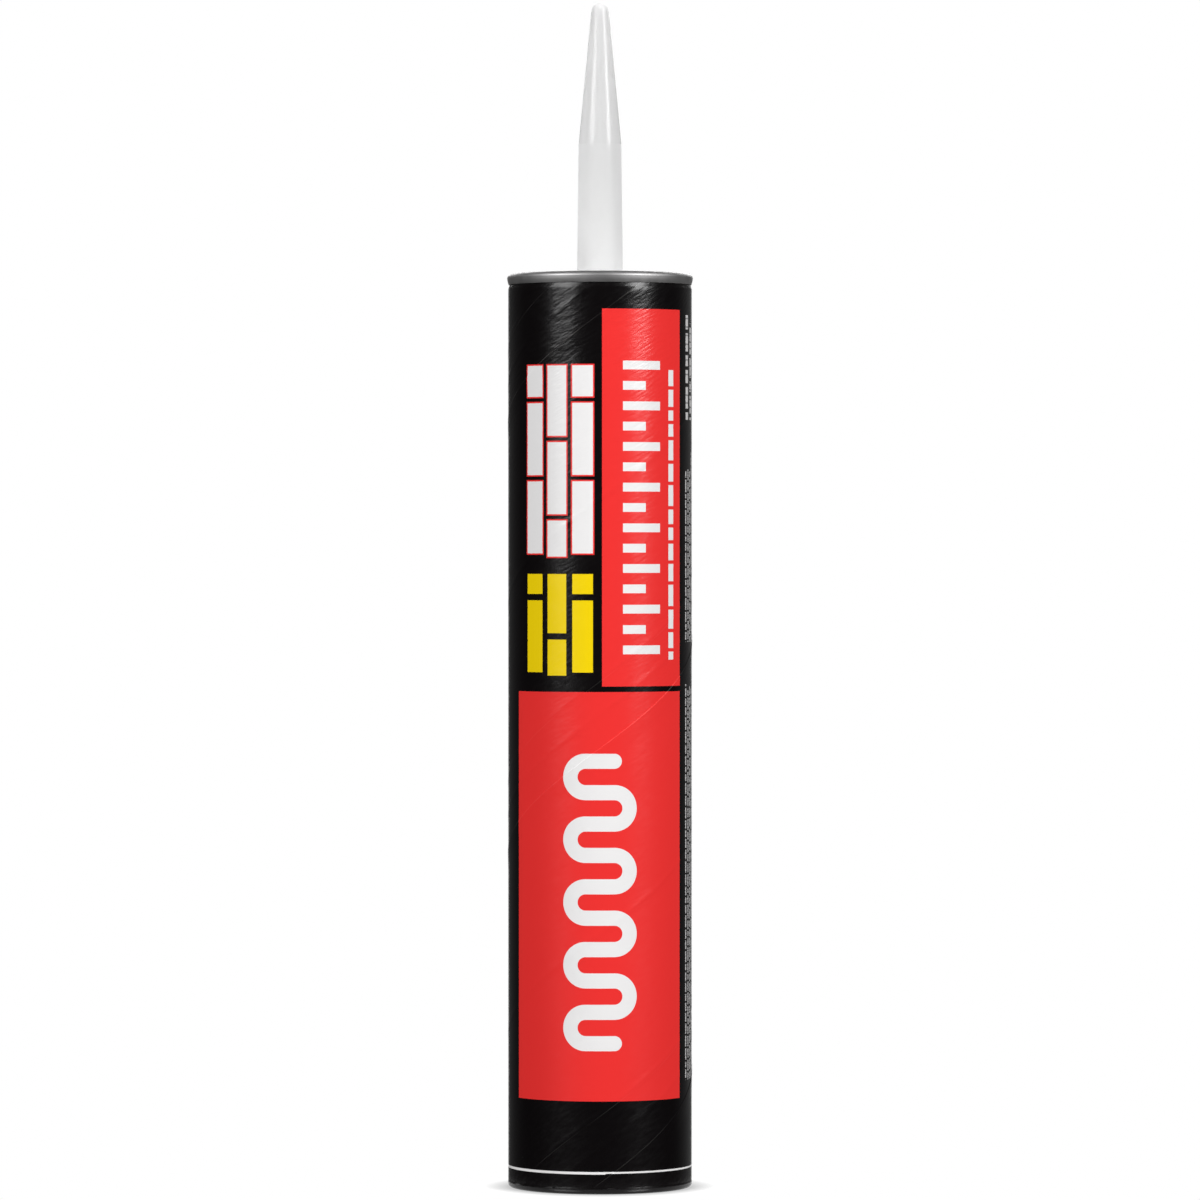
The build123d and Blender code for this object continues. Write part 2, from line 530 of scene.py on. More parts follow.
def bead(shader, across, up):
    """One stroke laid to and fro with round ends, as a bead of adhesive is."""
    half_pitch = BEAD_PITCH / 2
    last_run = BEAD_FOOT + (BEAD_RUNS - 1) * BEAD_PITCH
    on_right = shader.math("GREATER_THAN", across, 0.0)
    past_end = shader.math("SUBTRACT", shader.math("ABSOLUTE", across), BEAD_REACH)

    _, within = repeats(shader, up, BEAD_FOOT - half_pitch, BEAD_PITCH)
    from_run = apart(shader, within, half_pitch)

    turn_shift = shader.math("MULTIPLY", on_right, BEAD_PITCH)
    turn_up = shader.math("SUBTRACT", shader.math("SUBTRACT", up, BEAD_FOOT - half_pitch), turn_shift)
    folded = shader.math("FLOORED_MODULO", turn_up, 2 * BEAD_PITCH)
    from_turn = shader.math("SUBTRACT", folded, BEAD_PITCH)
    from_arc = apart(shader, root_of_squares(shader, past_end, from_turn), half_pitch)

    from_cap = root_of_squares(shader, past_end, from_run)
    from_middle = apart(shader, up, (BEAD_FOOT + last_run) / 2)
    outer_run = shader.math("GREATER_THAN", from_middle, (last_run - BEAD_FOOT - BEAD_PITCH) / 2)
    free_end = both(shader, outer_run, on_right)

    past_straight = shader.math("GREATER_THAN", past_end, 0.0)
    off = choose(shader, past_straight, from_run, choose(shader, free_end, from_arc, from_cap))
    return both(
        shader,
        under(shader, off, BEAD_HALF),
        band(shader, up, BEAD_FOOT - BEAD_HALF, last_run + BEAD_HALF),
    )


def ticks(shader, across, up):
    """Scale of long and short marks."""
    number, within = repeats(shader, up, TICK_FOOT, TICK_PITCH)
    odd = shader.math("FLOORED_MODULO", number, 2.0)
    end = shader.math("MULTIPLY_ADD", odd, TICK_SHORT - TICK_LONG, TICK_LEFT + TICK_LONG)
    return both(
        shader,
        under(shader, TICK_LEFT, across),
        under(shader, across, end),
        band(shader, within, (TICK_PITCH - TICK_THICK) / 2, (TICK_PITCH + TICK_THICK) / 2),
        band(shader, up, TICK_FOOT, TICK_FOOT + TICK_COUNT * TICK_PITCH),
    )


def dashes(shader, along, word, gap=0.0):
    """Dashes of uneven length for lines of small print, with short gaps in which this much ink shows."""
    cells = shader.node(
        "ShaderNodeTexVoronoi",
        {"voronoi_dimensions": "1D", "feature": "DISTANCE_TO_EDGE"},
        W=along, Scale=1 / word,
    )
    return shader.ramp(cells.outputs["Distance"], DASH_GAP, DASH_START, gap)


def caption(shader, across, up):
    """One line of dashes up the right side of the upper field."""
    return both(
        shader,
        band(shader, across, CAPTION_LEFT, CAPTION_RIGHT),
        band(shader, up, CAPTION_FOOT, CAPTION_TOP),
        dashes(shader, up, CAPTION_WORD),
    )


def small_block(shader, across, up, foot, top, lines, pitch, thick, word):
    """Lines of dashes beside each other, each broken up and ended in its own way."""
    number, within = repeats(shader, across, SMALL_LEFT, pitch)
    along = shader.math("MULTIPLY_ADD", number, SMALL_SHIFT, up)
    seed = shader.math("ADD", number, foot)
    short = shader.node("ShaderNodeTexWhiteNoise", {"noise_dimensions": "1D"}, W=seed).outputs["Value"]
    end = shader.math("MULTIPLY_ADD", short, -SMALL_RAGGED * (top - foot), top)
    return both(
        shader,
        band(shader, across, SMALL_LEFT, SMALL_LEFT + lines * pitch),
        band(shader, within, (pitch - thick) / 2, (pitch + thick) / 2),
        under(shader, foot, up),
        under(shader, up, end),
        dashes(shader, along, word),
        dashes(shader, along, SMALL_BREAK * thick, SMALL_BREAK_INK),
    )


def ring(shader, across, up):
    """Line round the foot of the tube, a little thinner right of where its ends meet."""
    past_step = shader.math("GREATER_THAN", across, RING_STEP_AT)
    foot = shader.math("MULTIPLY_ADD", past_step, RING_STEP, RING_FOOT)
    return both(shader, under(shader, foot, up), under(shader, up, RING_TOP))


def winding_line(shader, across, up, height, width):
    """Line up the winding, through this height at the front."""
    pitch = WIND_PITCH / MM
    slope = WIND_PITCH / (TURN * TUBE_RADIUS)
    level = shader.math("MULTIPLY_ADD", across, -slope, up)
    _, above = repeats(shader, level, height - pitch / 2, pitch)
    return band(shader, above, (pitch - width) / 2, (pitch + width) / 2)


def round_and_up(shader, place):
    """Millimetres round the tube from its front, and up from its foot."""
    axes = shader.axes(place)
    angle = shader.math("ARCTAN2", axes["X"], shader.math("MULTIPLY", axes["Y"], -1.0))
    return shader.math("MULTIPLY", angle, TUBE_RADIUS / MM), shader.math("MULTIPLY", axes["Z"], 1 / MM)


def along_winding(shader, place, up, stretch=1.0):
    """Place turned back along the winding, so that noise runs up it, with its heights times stretch."""
    wound = shader.math("MULTIPLY", up, -TURN * MM / WIND_PITCH)
    unwound = shader.node("ShaderNodeVectorRotate", {"rotation_type": "Z_AXIS"}, Vector=place, Angle=wound)
    drawn = shader.node("ShaderNodeMapping", Vector=unwound.outputs["Vector"], Scale=(1.0, 1.0, stretch))
    return drawn.outputs["Vector"]


# Materials

BOARD_DARK, BOARD_PALE = colour(0.52, 0.44, 0.34), colour(0.62, 0.54, 0.43)
BOARD_FIBRE = colour(0.46, 0.39, 0.30)
LINER_PALE, LINER_DARK = colour(0.68, 0.60, 0.49), colour(0.12, 0.09, 0.06)
LINER_HEIGHT = 94.5  # where the inner ply's seam crosses the front of the tube, in millimetres
LINER_SEAM, LINER_LAP = 0.5, 7.0
LAP_PALENESS, LAP_WEIGHT = 0.5, 2.0  # how pale the lap is, and how far it stands out beside the grain

POLISHED = 0.17  # roughness of the nozzle's cone
POLISH_EDGE = 1.0 * MM  # height over which the polish sets in


def printed_paper():
    """Varnished paper on the outside of the tube: black, with red fields, plain marks, and seam lines of
    worn ink and painted highlight.
    """
    shader = Shader("printed_paper")
    place = shader.place()
    across, up = round_and_up(shader, place)

    lower_field = both(
        shader,
        band(shader, across, FIELD_LEFT, FIELD_RIGHT),
        band(shader, up, FIELD_FOOT, DIVIDER_FOOT),
    )
    upper_field = both(
        shader,
        band(shader, across, COLUMN_EDGE, FIELD_RIGHT),
        band(shader, up, DIVIDER_TOP, FIELD_TOP),
    )
    layers = [
        (shader.math("MAXIMUM", lower_field, upper_field), RED_INK),
        (boards(shader, across, up, WHITE_FOOT, WHITE_TOP, BOARD_OUTLINE), RED_INK),
        (boards(shader, across, up, WHITE_FOOT, WHITE_TOP, 0.0), WHITE_INK),
        (boards(shader, across, up, YELLOW_FOOT, YELLOW_TOP, 0.0), YELLOW_INK),
        (bead(shader, across, up), WHITE_INK),
        (ticks(shader, across, up), WHITE_INK),
        (caption(shader, across, up), WHITE_INK),
        (ring(shader, across, up), WHITE_INK),
    ]
    layers += [(small_block(shader, across, up, *block), GREY_INK) for block in SMALL_BLOCKS]
    ink = BLACK_INK
    for mask, paint in layers:
        ink = shader.mix(mask, ink, paint)

    creases = shader.noise(along_winding(shader, place, up), CREASE_SCALE)
    fibres = shader.noise(place, scale=2600.0)
    clouds = shader.noise(place, scale=45.0, detail=3.0)

    patches = shader.ramp(clouds, PATCH_LOW, PATCH_HIGH, PATCH_LEAST)
    # Lines up the winding, lightened by added colour: worn ink along the seam, and a painted highlight where
    # the lap's edge and a ply's ridge below catch light, stronger towards the top
    for offset, wear_and_sheen_foot, wear_and_sheen_top in WORN_AND_SHEEN_LINES:
        line = winding_line(shader, across, up, SEAM_HEIGHT / MM + offset, SEAM_LINE)
        wear_and_sheen = shader.ramp(up, FIELD_FOOT, FIELD_TOP, wear_and_sheen_foot, wear_and_sheen_top)
        ink = shader.mix(both(shader, line, patches, wear_and_sheen), ink, SEAM_PAPER_AND_SHEEN, "ADD")

    crimped = shader.ramp(up, CREASE_LOW, CREASE_HIGH, CREASE_LEAST)
    relief = shader.math("MULTIPLY_ADD", creases, crimped, shader.math("MULTIPLY", clouds, CLOUD_WEIGHT))
    height = shader.math("MULTIPLY_ADD", fibres, FIBRE_WEIGHT, relief)
    return shader.finish(
        Base_Color=ink,
        Roughness=shader.spread(creases, 0.20, 0.27),
        Specular_IOR_Level=0.30,
        Normal=shader.bump(height, distance=0.08 * MM),
    )


def fibre_board():
    """Grey-brown wound board inside the tube, with fibres up the winding and its ply's open seam."""
    shader = Shader("fibre_board")
    place = shader.place()
    across, up = round_and_up(shader, place)
    grain = shader.noise(place, scale=900.0, detail=4.0)
    fibres = shader.noise(along_winding(shader, place, up, stretch=0.06), scale=420.0, detail=4.0)
    lap = winding_line(shader, across, up, LINER_HEIGHT + LINER_LAP / 2, LINER_LAP)
    seam = winding_line(shader, across, up, LINER_HEIGHT, LINER_SEAM)
    board = shader.mix(shader.spread(grain), BOARD_DARK, BOARD_PALE)
    board = shader.mix(shader.ramp(fibres, 0.4, 0.7), board, BOARD_FIBRE)
    board = shader.mix(shader.math("MULTIPLY", lap, LAP_PALENESS), board, LINER_PALE)
    board = shader.mix(seam, board, LINER_DARK)
    raised = shader.math("MULTIPLY_ADD", lap, LAP_WEIGHT, shader.math("ADD", grain, fibres))
    return shader.finish(
        Base_Color=board,
        Roughness=0.85,
        Normal=shader.bump(raised, distance=0.08 * MM, strength=0.5),
    )


def tinplate():
    """Bare pressed tinplate, dull bright, with faint turning marks."""
    shader = Shader("tinplate")
    place = shader.place()
    axes = shader.axes(place)
    radius = root_of_squares(shader, axes["X"], axes["Y"])
    rings = shader.node("ShaderNodeCombineXYZ", X=radius, Y=axes["Z"]).outputs["Vector"]
    marks = shader.noise(rings, scale=3200.0, detail=3.0)
    clouds = shader.noise(place, scale=260.0, detail=4.0)
    return shader.finish(
        Base_Color=shader.mix(clouds, colour(0.35, 0.345, 0.345), colour(0.43, 0.425, 0.425)),
        Metallic=1.0,
        Roughness=shader.spread(clouds, 0.50, 0.57),
        Normal=shader.bump(marks, distance=0.02 * MM, strength=0.5),
    )


def polyethylene(name, pale, deep, translucence, polished=None):
    """Moulded polyethylene: waxy, with faint flow clouds, a fine grain, and polished between two heights."""
    shader = Shader(name)
    place = shader.place()
    clouds = shader.noise(place, scale=70.0, detail=3.0)
    grain = shader.noise(place, scale=2200.0)
    roughness = shader.spread(clouds, 0.46, 0.56)
    if polished:
        height = shader.axes(place)["Z"]
        roughness = choose(shader, band(shader, height, *polished, POLISH_EDGE), roughness, POLISHED)
    return shader.finish(
        Base_Color=shader.mix(shader.spread(clouds), pale, deep),
        Roughness=roughness,
        Subsurface_Weight=translucence,
        Subsurface_Radius=(1.0, 1.0, 1.0),
        Subsurface_Scale=5.5 * MM,
        Specular_IOR_Level=0.2,
        Normal=shader.bump(grain, distance=0.02 * MM, strength=0.4),
    )


def paste():
    """Tan rubber paste, smeared and a little wet."""
    shader = Shader("paste")
    lumps = shader.noise(shader.place(), scale=160.0, detail=4.0)
    return shader.finish(
        Base_Color=shader.mix(lumps, colour(0.52, 0.41, 0.27), colour(0.66, 0.54, 0.37)),
        Roughness=shader.spread(lumps, 0.35, 0.6),
        Normal=shader.bump(lumps, distance=0.5 * MM, strength=0.6),
    )


def foil():
    """Plain aluminium foil with light creases."""
    shader = Shader("foil")
    creases = shader.noise(shader.place(), scale=420.0, detail=5.0)
    return shader.finish(
        Base_Color=shader.mix(creases, colour(0.72, 0.72, 0.73), colour(0.82, 0.82, 0.83)),
        Metallic=1.0,
        Roughness=shader.spread(creases, 0.2, 0.35),
        Normal=shader.bump(creases, distance=0.15 * MM, strength=0.6),
    )


# Pieces


def seam_turn(height):
    """Angle at the tube's front edge of the helix that crosses the printed front at this height."""
    return TURN * (TUBE_TOP - height) / WIND_PITCH


def past_seam(angle, height):
    """How far round the tube an angle lies past the helix of this height, in metres."""
    return ((angle - seam_turn(height) + pi) % TURN - pi) * TUBE_RADIUS


def ply_relief(angle):
    """How far the outer paper stands proud along the helix that starts at this angle."""
    run = past_seam(angle, SEAM_HEIGHT)
    proud = SEAM_STEP * max(0.0, 1 - run / SEAM_LAP) if run >= -HAIR / 10 else 0.0
    for offset in RIDGE_OFFSETS:
        proud += RIDGE_HEIGHT * exp(-(past_seam(angle, SEAM_HEIGHT + offset) / RIDGE_WIDTH) ** 2)
    return proud


def tube_section():
    """Closed section of the tube: front edge and groove, wall in even rows, rolled rear edge and bore."""
    front = outline([
        (BORE_RADIUS, TUBE_TOP),
        (TUBE_RADIUS, TUBE_TOP, EDGE_ROUND),
        (TUBE_RADIUS, TUCK_TOP, TUCK_ROUND),
        (TUBE_RADIUS - TUCK_DEPTH, SKIRT_BOTTOM, GROOVE_ROUND),
        (TUBE_RADIUS, GROOVE_FOOT, GROOVE_FOOT_ROUND),
        (TUBE_RADIUS, 0.0),
    ])[1:-1]
    wall_top = front[-1].y
    wall_rows = ceil((wall_top - FOLD_TOP) / WALL_ROW)
    drop = (wall_top - FOLD_TOP) / wall_rows
    wall = [Vector((TUBE_RADIUS, wall_top - drop * row)) for row in range(1, wall_rows)]
    swell = TUBE_RADIUS + FOLD_STEP
    rear = outline([
        (TUBE_RADIUS, TUBE_TOP),
        (TUBE_RADIUS, FOLD_TOP, FOLD_ROUND),
        (swell, FOLD_FOOT, FOLD_ROUND),
        (swell, 0.0, ROLL_ROUND),
        (MOUTH_RADIUS, 0.0, ROLL_ROUND),
        (MOUTH_RADIUS, ROLL_HEIGHT, ROLL_LIP_ROUND),
        (BORE_RADIUS, ROLL_HEIGHT, ROLL_ROOT_ROUND),
        (BORE_RADIUS, TUBE_TOP, BORE_ROUND),
        (TUBE_RADIUS, TUBE_TOP),
    ])[1:-1]
    return front + wall + rear


def tube_twist(section, roll_row, mouth_row):
    """Turn of each of the tube's rows: columns follow the winding outside, and run straight up the bore."""
    twist = []
    for row, point in enumerate(section):
        if row < roll_row:
            turns = min(WIND_TURNS, (TUBE_TOP - point.y) / WIND_PITCH)
        else:
            back = min(1.0, (row - roll_row) / (mouth_row - roll_row))
            turns = WIND_TURNS + back * (round(WIND_TURNS) - WIND_TURNS)
        twist.append(-TURN * turns)
    return twist


def tube_columns():
    """Angles of the tube's columns: evenly spaced, with more at the paper's lap and the plies' ridges."""
    lap = seam_turn(SEAM_HEIGHT)
    columns = columns_round(TUBE_COLUMNS) + [lap - SEAM_FACE / TUBE_RADIUS, lap]
    for offset in RIDGE_OFFSETS:
        ridge = seam_turn(SEAM_HEIGHT + offset)
        columns += [ridge + side * RIDGE_WIDTH / TUBE_RADIUS for side in (-1, 0, 1)]
    return sorted(column % TURN for column in columns)


def make_tube():
    """Wound fibre tube: its paper's laps, the groove under the tinplate skirt and the rolled rear edge."""
    section = tube_section()
    columns = tube_columns()
    outside = TUBE_RADIUS - TUBE_WALL / 2
    # The top of the front edge isn't counted, so the roll's rows start as many rows up its fold
    roll_row = sum(1 for point in section if point.x > outside and point.y > WIND_FOOT - HAIR)
    rolled_rows = range(roll_row, len(section))
    mouth_row = next(row for row in rolled_rows if section[row].y > ROLL_HEIGHT - HAIR)

    def relief(row, angle):
        if row >= roll_row:
            return 0.0
        fade = min(1.0, max(0.0, (GROOVE_FOOT - section[row].y) / MM))
        return ply_relief(angle) * fade

    def chart(row, angle, length):
        height = 1 - 2 * TUBE_MAP_END
        if row < roll_row:
            down = height * length * OUTSIDE_STRETCH
            return (OUTSIDE_LEFT + OUTSIDE_WIDTH * share_round(angle), 1 - TUBE_MAP_END - down)
        return (INSIDE_LEFT + INSIDE_WIDTH * share_round(angle), TUBE_MAP_END + height * length)

    twist = tube_twist(section, roll_row, mouth_row)
    tube = turned("fibre_tube", section, columns, True, twist, relief, chart)
    tube.data.materials.append(printed_paper())
    tube.data.materials.append(fibre_board())
    inside = [face // len(columns) >= mouth_row for face in range(len(tube.data.polygons))]
    tube.data.polygons.foreach_set("material_index", inside)
    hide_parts("tube")
    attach(tube, "cartridge")


def make_tin():
    """Pressed tinplate end: hub, panel, and the rim folded over the tube's edge and tucked in below."""
    inner = BORE_RADIUS - CRIMP_GAP
    outer = TUBE_RADIUS + CRIMP_GAP
    top = RIM_TOP - TIN_THICKNESS
    underside = outline([
        (HOLE_RADIUS, HUB_UNDERSIDE),
        (HUB_CREST, HUB_UNDERSIDE, HUB_CREST_ROUND),
        (HUB_FOOT, PANEL_UNDERSIDE, HUB_FOOT_ROUND),
        (inner, PANEL_UNDERSIDE, PANEL_ROUND),
        (inner, top, BORE_ROUND + CRIMP_GAP),
        (outer, top, EDGE_ROUND + CRIMP_GAP),
        (outer, TUCK_TOP, TUCK_ROUND),
        (outer - TUCK_DEPTH, SKIRT_BOTTOM),
    ])
    section = sheet_outline(underside, TIN_THICKNESS)
    tin = turned("tin_end", section, columns_round(TIN_COLUMNS), True)
    tin.data.materials.append(tinplate())
    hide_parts("tinplate_end")
    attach(tin, "cartridge")


def make_nozzle():
    """Moulded nozzle: flange, tapered barrel, cone and round closed tip, hollow to its tip."""
    tip_centre = TIP_TOP - TIP_RADIUS
    cone_rise = tip_centre - WAIST_HEIGHT
    lean = atan2(WAIST_RADIUS, cone_rise) - asin(TIP_RADIUS / hypot(WAIST_RADIUS, cone_rise))
    tip_corner = TIP_RADIUS / tan((pi / 2 + lean) / 2)
    bore = WAIST_RADIUS - NOZZLE_WALL
    bore_end = TIP_TOP - TIP_WALL
    section = outline([
        (0.0, TIP_TOP),
        (tip_corner, TIP_TOP, TIP_SHARE * TIP_RADIUS),
        (WAIST_RADIUS, WAIST_HEIGHT, WAIST_ROUND),
        (ROOT_RADIUS, FLANGE_TOP, FLANGE_ROUND),
        (FLANGE_RADIUS, FLANGE_TOP, FLANGE_ROUND),
        (FLANGE_RADIUS, FLANGE_FOOT, FLANGE_ROUND),
        (bore, FLANGE_FOOT, FLANGE_ROUND),
        (bore, WAIST_HEIGHT, WAIST_ROUND),
        (TIP_RADIUS - NOZZLE_WALL, bore_end, NOZZLE_BORE_ROUND),
        (0.0, bore_end),
    ])[1:]  # the tip's arc starts within a hair of the axis, which makes the first point a double
    nozzle = turned("nozzle_moulding", section, columns_round(NOZZLE_COLUMNS), False)
    material = polyethylene(
        "nozzle_polyethylene",
        pale=colour(0.93, 0.93, 0.93),
        deep=colour(0.91, 0.91, 0.91),
        translucence=1.0,
        polished=(WAIST_HEIGHT, tip_centre),
    )
    nozzle.data.materials.append(material)
    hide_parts("nozzle")
    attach(nozzle, "cartridge")


def make_paste():
    """Adhesive that fills the tube between the plunger and the tinplate panel."""
    section = outline([
        (0.0, paste_high.z),
        (paste_high.x, paste_high.z, PASTE_ROUND),
        (paste_high.x, paste_low.z, PASTE_ROUND),
        (0.0, paste_low.z),
    ])
    fill = turned("paste_fill", section, columns_round(PASTE_COLUMNS), False)
    fill.data.materials.append(paste())
    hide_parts("adhesive")
    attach(fill, "cartridge")
    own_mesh(fill)


def rib_star(ease):
    """Corners, in order, of the plunger's round boss with its ribs, drawn in from their edges by ease."""
    radius, side = BOSS_RADIUS - ease, RIB_HALF - ease
    rib_turn = TURN / RIB_COUNT
    root = asin(side / radius)
    root_out = radius * cos(root)
    corners = []
    for rib in range(RIB_COUNT):
        along = rib * rib_turn
        for out, off in ((root_out, -side), (RIB_REACH, -side), (RIB_REACH, side), (root_out, side)):
            corners.append((out * cos(along) - off * sin(along), out * sin(along) + off * cos(along)))
        for step in range(1, BOSS_STEPS):
            angle = along + root + (rib_turn - 2 * root) * step / BOSS_STEPS
            corners.append((radius * cos(angle), radius * sin(angle)))
    return corners


def add_ribs(mesh, foot, top):
    """Adds the plunger's boss and ribs to a mesh, with their lower edges eased."""
    levels = ((foot, RIB_EASE), (foot + RIB_EASE / 3, RIB_EASE / 3), (foot + RIB_EASE, 0.0), (top, 0.0))
    work = bmesh.new()
    work.from_mesh(mesh)
    rings = [[work.verts.new((x, y, height)) for x, y in rib_star(ease)] for height, ease in levels]
    count = len(rings[0])
    for lower, upper in zip(rings, rings[1:]):
        for index in range(count):
            after = (index + 1) % count
            work.faces.new((lower[index], lower[after], upper[after], upper[index]))
    work.faces.new(rings[0][::-1])
    work.faces.new(rings[-1])
    work.to_mesh(mesh)
    work.free()


def make_plunger():
    """Moulded plunger: a cup with two wiping lips, and a boss and ribs that take the push."""
    foot, top = plunger_low.z, plunger_high.z
    section = outline([
        (0.0, top),
        (LIP_RADIUS, top, CROWN_ROUND),
        (LIP_RADIUS, UPPER_LIP_FOOT, LIP_ROUND),
        (SKIRT_RADIUS, UPPER_LIP_FOOT - LIP_SLOPE, LIP_ROUND),
        (SKIRT_RADIUS, LOWER_LIP_TOP + LIP_SLOPE, LIP_ROUND),
        (LIP_RADIUS, LOWER_LIP_TOP, LIP_ROUND),
        (LIP_RADIUS, foot, FOOT_OUTER_ROUND),
        (CUP_RADIUS, foot, FOOT_INNER_ROUND),
        (CUP_RADIUS, CROWN_UNDERSIDE, CUP_ROUND),
        (0.0, CROWN_UNDERSIDE),
    ])
    plunger = turned("plunger_moulding", section, columns_round(PLUNGER_COLUMNS), False)
    mesh = plunger.data
    add_ribs(mesh, CROWN_UNDERSIDE - RIB_HEIGHT, CROWN_UNDERSIDE + RIB_SINK)
    settle(mesh)
    # The ribs have no place in the turned bake map, so the plunger is left without one
    mesh.uv_layers.remove(mesh.uv_layers["OFBake"])
    material = polyethylene(
        "plunger_polyethylene",
        pale=colour(0.72, 0.72, 0.69),
        deep=colour(0.66, 0.66, 0.63),
        translucence=0.15,
    )
    mesh.materials.append(material)
    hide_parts("plunger")
    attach(plunger, "plunger")


def dress_foil():
    """Gives the foil seal, whose solid stays, its own material."""
    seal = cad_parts["foil_seal"]
    seal.data.materials.clear()
    seal.data.materials.append(foil())


# Studio, in metres and watts

CAMERA_SPOT = Vector((0.0002, -2.370, 0.225))
CAMERA_AIM = Vector((0.0, 0.0, 0.2044))
CAMERA_LENS, CAMERA_SENSOR = 204.0, 36.0  # in millimetres
CAMERA_REACH = 50.0

WHITE = colour(1.0, 1.0, 1.0)
FLOOR_RADIUS = 0.044
FLOOR_DROP = 0.02 * MM  # below the roll, so that the two don't touch
FLOOR_GREY = colour(0.25, 0.25, 0.25)
FLOOR_PAINTED_SHADOW = 0.45  # glow at the tube's edge: a painted shadow round the tube, which rises to white at the floor's rim

WALL_RADIUS = 3.4
WALL_FOOT, WALL_TOP = -1.5, 2.6
WALL_OPENING = radians(14)  # half of the gap behind the object
WALL_BLACK = colour(0.02, 0.02, 0.02)
REAR_GLOW_START, REAR_GLOW_FULL = 0.3 * WALL_RADIUS, 0.9 * WALL_RADIUS  # towards the gap
SIDE_GLOW_REACH = 0.5 * WALL_RADIUS
LEFT_GLOW, RIGHT_GLOW = 0.07, 0.15
CEILING_GLOW = 0.04
CEILING_START, CEILING_FULL = WALL_TOP - 0.02, WALL_TOP - 0.01

LAMP_AIM = Vector((0.0, 0.0, 0.25))
SOFT_LAMPS = (  # name, bearing from the front, distance, height, width, length and power
    ("lamp_left", radians(-48), 2.6, 1.30, 1.39, 1.58, 69.0),
    ("lamp_right", radians(52), 2.6, 1.30, 1.04, 1.58, 79.0),
    ("lamp_back_left", radians(-164), 1.2, 0.85, 0.6, 0.6, 6.0),
    ("lamp_back_right", radians(164), 1.2, 0.85, 0.6, 0.6, 6.0),
)
NARROW_LAMPS = (  # name, spot, aim, reach and power
    ("lamp_rear", Vector((0.0, 0.0, -0.05)), Vector((0.0, 0.0, 0.0)), 0.95 * MOUTH_RADIUS, 0.17),
    ("lamp_nozzle", Vector((-1.195, -0.105, 0.366)), Vector((0.0, 0.0, 0.366)), 0.046, 12.0),
)
NARROW_LAMP_BLEND = 0.2
NARROW_LAMP_RADIUS = 0.01


def look(spot, aim):
    """Rotation of a camera or lamp at a spot that faces its aim."""
    return (aim - spot).to_track_quat("-Z", "Y").to_euler()


def add_camera():
    """Camera at the photograph's viewing angle."""
    data = bpy.data.cameras.new("camera")
    data.sensor_width = CAMERA_SENSOR
    data.lens = CAMERA_LENS
    data.clip_end = CAMERA_REACH
    camera = placed("camera", data)
    camera.location = CAMERA_SPOT
    camera.rotation_euler = look(CAMERA_SPOT, CAMERA_AIM)
    bpy.context.scene.camera = camera


def add_lamp(name, kind, spot, aim, power):
    """Lamp at a spot that faces its aim, and that the camera doesn't see."""
    data = bpy.data.lights.new(name, kind)
    data.energy = power
    lamp = placed(name, data)
    lamp.location = spot
    lamp.rotation_euler = look(spot, aim)
    lamp.visible_camera = False
    return data


def add_soft_lamp(name, bearing, distance, height, width, length, power):
    """Rectangular lamp at a bearing from the camera's side of the object."""
    spot = Vector((distance * sin(bearing), -distance * cos(bearing), height))
    data = add_lamp(name, "AREA", spot, LAMP_AIM, power)
    data.shape = "RECTANGLE"
    data.size = width
    data.size_y = length


def add_narrow_lamp(name, spot, aim, reach, power):
    """Lamp that lights only what lies within reach of its aim."""
    data = add_lamp(name, "SPOT", spot, aim, power)
    data.spot_size = 2 * atan2(reach, (aim - spot).length)
    data.spot_blend = NARROW_LAMP_BLEND
    data.shadow_soft_size = NARROW_LAMP_RADIUS


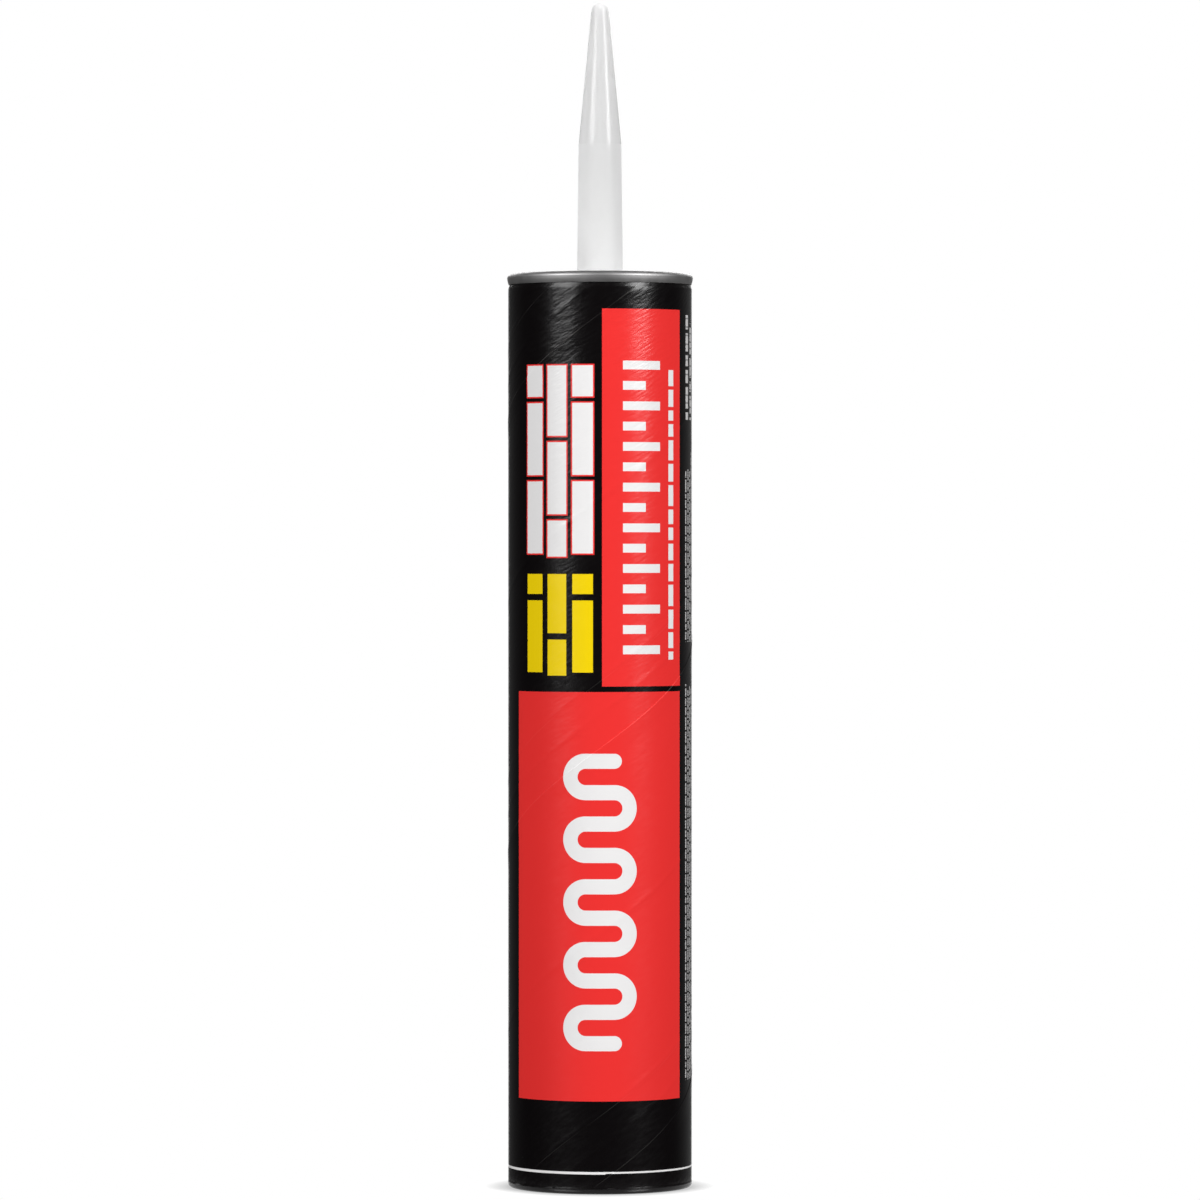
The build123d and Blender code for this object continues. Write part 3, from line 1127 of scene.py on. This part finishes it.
def add_floor():
    """White floor that keeps a soft shadow and is glossy for reflections alone; its glow dims towards the
    tube as a painted contact shadow.

    From below it is open, so that the rear end shows.
    """
    section = [Vector((0.0, 0.0)), Vector((FLOOR_RADIUS, 0.0))]
    floor = turned("floor", section, columns_round(FLOOR_COLUMNS), False)
    floor.data.flip_normals()
    floor.location.z = -FLOOR_DROP
    floor.visible_shadow = False
    shader = Shader("floor")
    from_below = shader.node("ShaderNodeNewGeometry").outputs["Backfacing"]
    rays = shader.node("ShaderNodeLightPath").outputs
    mirrored = shader.math("MAXIMUM", rays["Is Glossy Ray"], rays["Is Transmission Ray"])
    seen = shader.math("MAXIMUM", rays["Is Camera Ray"], mirrored)
    axes = shader.axes(shader.place())
    radius = root_of_squares(shader, axes["X"], axes["Y"])
    # Painted shadow: the floor's glow is dimmed towards the tube, and so is its reflection in the tube's
    # foot
    glow_with_painted_shadow = shader.ramp(radius, TUBE_RADIUS, FLOOR_RADIUS, FLOOR_PAINTED_SHADOW)
    shader.finish(
        Base_Color=FLOOR_GREY,
        Roughness=0.12,
        IOR=2.2,
        Specular_IOR_Level=rays["Is Glossy Ray"],
        Emission_Color=WHITE,
        Emission_Strength=shader.math("MULTIPLY", seen, glow_with_painted_shadow),
        Alpha=shader.math("SUBTRACT", 1.0, from_below),
    )
    floor.data.materials.append(shader.material)


def add_walls():
    """Dark studio walls, which the camera looks through and which are open behind the object."""
    vertices = []
    for column in range(WALL_COLUMNS + 1):
        bearing = -pi + WALL_OPENING + (TURN - 2 * WALL_OPENING) * column / WALL_COLUMNS
        for height in (WALL_FOOT, WALL_TOP):
            vertices.append((WALL_RADIUS * sin(bearing), -WALL_RADIUS * cos(bearing), height))
    lower, upper = range(0, len(vertices), 2), range(1, len(vertices), 2)
    faces = [(first, first + 2, first + 3, first + 1) for first in lower[:-1]]
    faces += [tuple(lower), tuple(upper)]
    mesh = bpy.data.meshes.new("studio_walls")
    mesh.from_pydata(vertices, [], faces)
    walls = placed("studio_walls", mesh)
    walls.visible_camera = False
    shader = Shader("studio_wall")
    axes = shader.axes(shader.place())
    rear = shader.ramp(axes["Y"], REAR_GLOW_START, REAR_GLOW_FULL)
    side = shader.ramp(axes["X"], -SIDE_GLOW_REACH, SIDE_GLOW_REACH, LEFT_GLOW, RIGHT_GLOW)
    ceiling = shader.ramp(axes["Z"], CEILING_START, CEILING_FULL, 0.0, CEILING_GLOW)
    shader.finish(
        Base_Color=WALL_BLACK,
        Roughness=1.0,
        Specular_IOR_Level=0.0,
        Emission_Color=WHITE,
        Emission_Strength=shader.math("MULTIPLY_ADD", rear, side, ceiling),
    )
    mesh.materials.append(shader.material)


def set_world():
    """White surround, shown without a change of tone."""
    world = bpy.data.worlds.new("white_surround")
    world.use_nodes = True
    surround = world.node_tree.nodes["Background"]
    surround.inputs["Color"].default_value = WHITE
    surround.inputs["Strength"].default_value = 1.0
    bpy.context.scene.world = world
    bpy.context.scene.view_settings.view_transform = "Standard"


make_tube()
make_tin()
make_nozzle()
make_paste()
make_plunger()
dress_foil()

add_camera()
add_floor()
add_walls()
set_world()
for soft_lamp in SOFT_LAMPS:
    add_soft_lamp(*soft_lamp)
for narrow_lamp in NARROW_LAMPS:
    add_narrow_lamp(*narrow_lamp)
